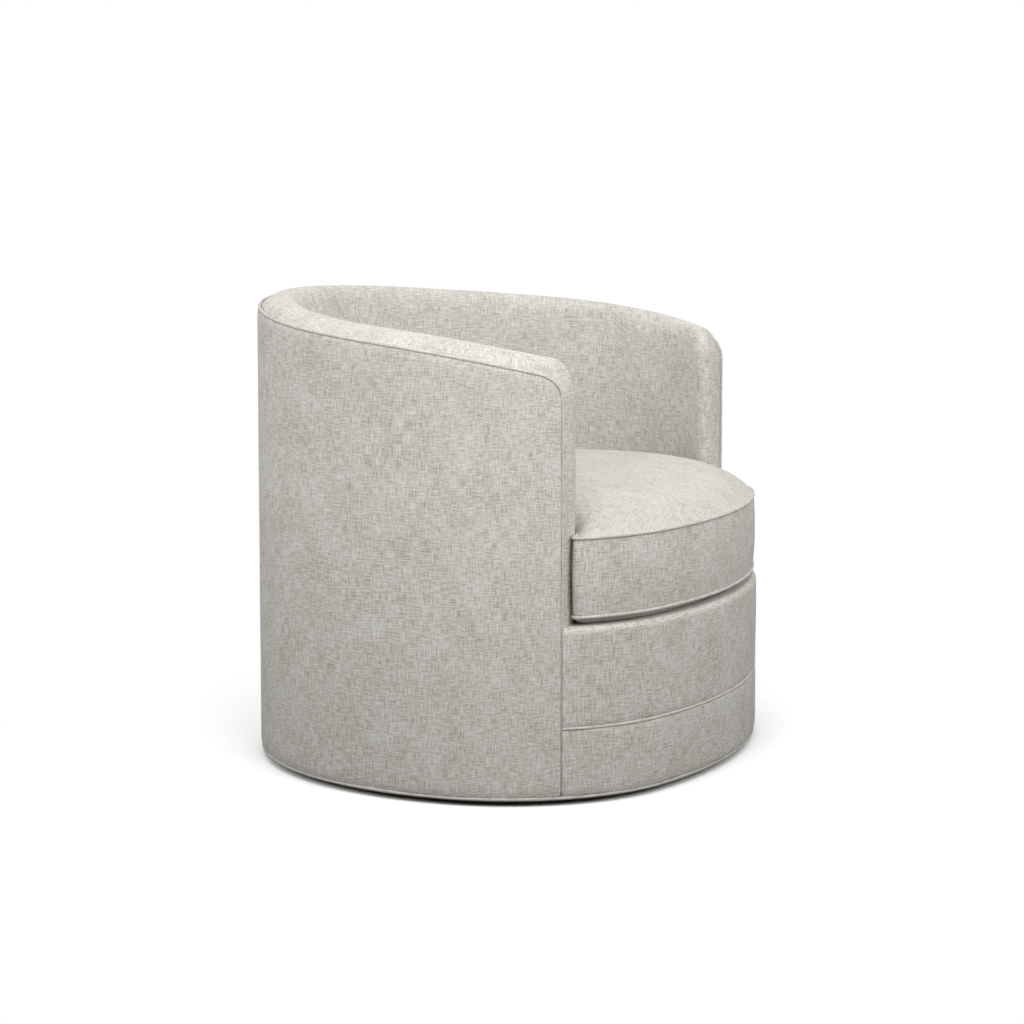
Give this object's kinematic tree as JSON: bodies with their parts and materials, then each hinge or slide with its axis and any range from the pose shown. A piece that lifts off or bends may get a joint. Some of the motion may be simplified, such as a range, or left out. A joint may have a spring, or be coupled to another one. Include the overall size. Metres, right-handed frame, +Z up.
{
  "type": "swivel barrel chair",
  "caption": "Round barrel armchair on a hidden swivel base, fully upholstered, with a wrap-round padded back, welted edges and a loose seat cushion with a domed top.",
  "frame": {"origin": "on the floor at the swivel's axis, under the middle of the plan", "axes": "+Z up, -Y out of the front, +X to the right seen from the front"},
  "size_m": [0.8524, 0.7232, 0.6883],
  "materials": {
    "woven_cover": "woven, pale warm greige with fine darker slubs",
    "welt_cord": "woven cover on a thin cord",
    "foam": "open-cell foam, stood in by a light soft solid",
    "cotton_pad": "felted cotton",
    "black_cambric": "thin black cloth",
    "plywood": "bare plywood",
    "timber": "bare pale hardwood",
    "bent_panel": "bent fibreboard panel",
    "spring_wire": "bare wire",
    "clip_steel": "plain strip",
    "dark_base": "dark stained board",
    "glide_plastic": "matte",
    "plate_steel": "pressed plate",
    "fixing_steel": "plain",
    "bolt_steel": "plain",
    "cage_brass": "yellow passivated strip",
    "ball_steel": "polished"
  },
  "bodies": {
    "swivel_base": {"base_disc": "dark_base", "base_glides": "glide_plastic", "lower_plate": "plate_steel", "lower_plate_screws": "fixing_steel", "kingbolt": "bolt_steel", "thrust_washer": "bolt_steel", "lock_nut": "bolt_steel"},
    "ball_ring": {"ball_cage": "cage_brass", "bearing_balls": "ball_steel"},
    "seat_shell": {"upper_plate": "plate_steel", "upper_plate_bolts": "fixing_steel", "cross_board_left": "timber", "cross_board_right": "timber", "foot_ring": "plywood", "dust_cover": "black_cambric", "arm_post_left": "timber", "arm_post_right": "timber", "back_post_1": "timber", "back_post_2": "timber", "back_post_3": "timber", "back_post_4": "timber", "back_post_5": "timber", "front_post_left": "timber", "front_post_right": "timber", "front_rail": "timber", "top_rail": "plywood", "seat_ring": "plywood", "barrel_panel": "bent_panel", "front_panel": "bent_panel", "spring_1": "spring_wire", "spring_2": "spring_wire", "spring_3": "spring_wire", "spring_4": "spring_wire", "spring_5": "spring_wire", "rear_spring_clips": "clip_steel", "front_spring_clips": "clip_steel", "deck_pad": "cotton_pad", "deck_cover": "woven_cover", "inside_foam": "foam", "arm_end_pad_left": "foam", "arm_end_pad_right": "foam", "front_edge_pad": "foam", "inside_lining": "woven_cover", "arm_end_cover_left": "woven_cover", "arm_end_cover_right": "woven_cover", "front_upper_cover": "woven_cover", "front_lower_cover": "woven_cover", "outside_cover": "woven_cover", "rim_welt": "welt_cord", "front_welt": "welt_cord", "foot_welt": "welt_cord"},
    "seat_cushion": {"cushion_core": "foam", "cushion_top_panel": "woven_cover", "cushion_boxing": "woven_cover", "cushion_bottom_panel": "woven_cover", "cushion_top_welt": "welt_cord", "cushion_bottom_welt": "welt_cord"}
  },
  "joints": [
    {"name": "swivel", "type": "hinge", "parent": "swivel_base", "child": "seat_shell", "pos_m": [0, 0, 0.03], "axis": [0, 0, 1], "continuous": true},
    {"name": "ball_ring_roll", "type": "hinge", "parent": "swivel_base", "child": "ball_ring", "pos_m": [0, 0, 0.03], "axis": [0, 0, 1], "continuous": true},
    {"name": "cushion_lift", "type": "slide", "parent": "seat_shell", "child": "seat_cushion", "axis": [0, 0, 1], "range_m": [0, 0.38]}
  ],
  "couplings": [
    {"joint": "ball_ring_roll", "follows": "swivel", "ratio": 0.5}
  ]
}
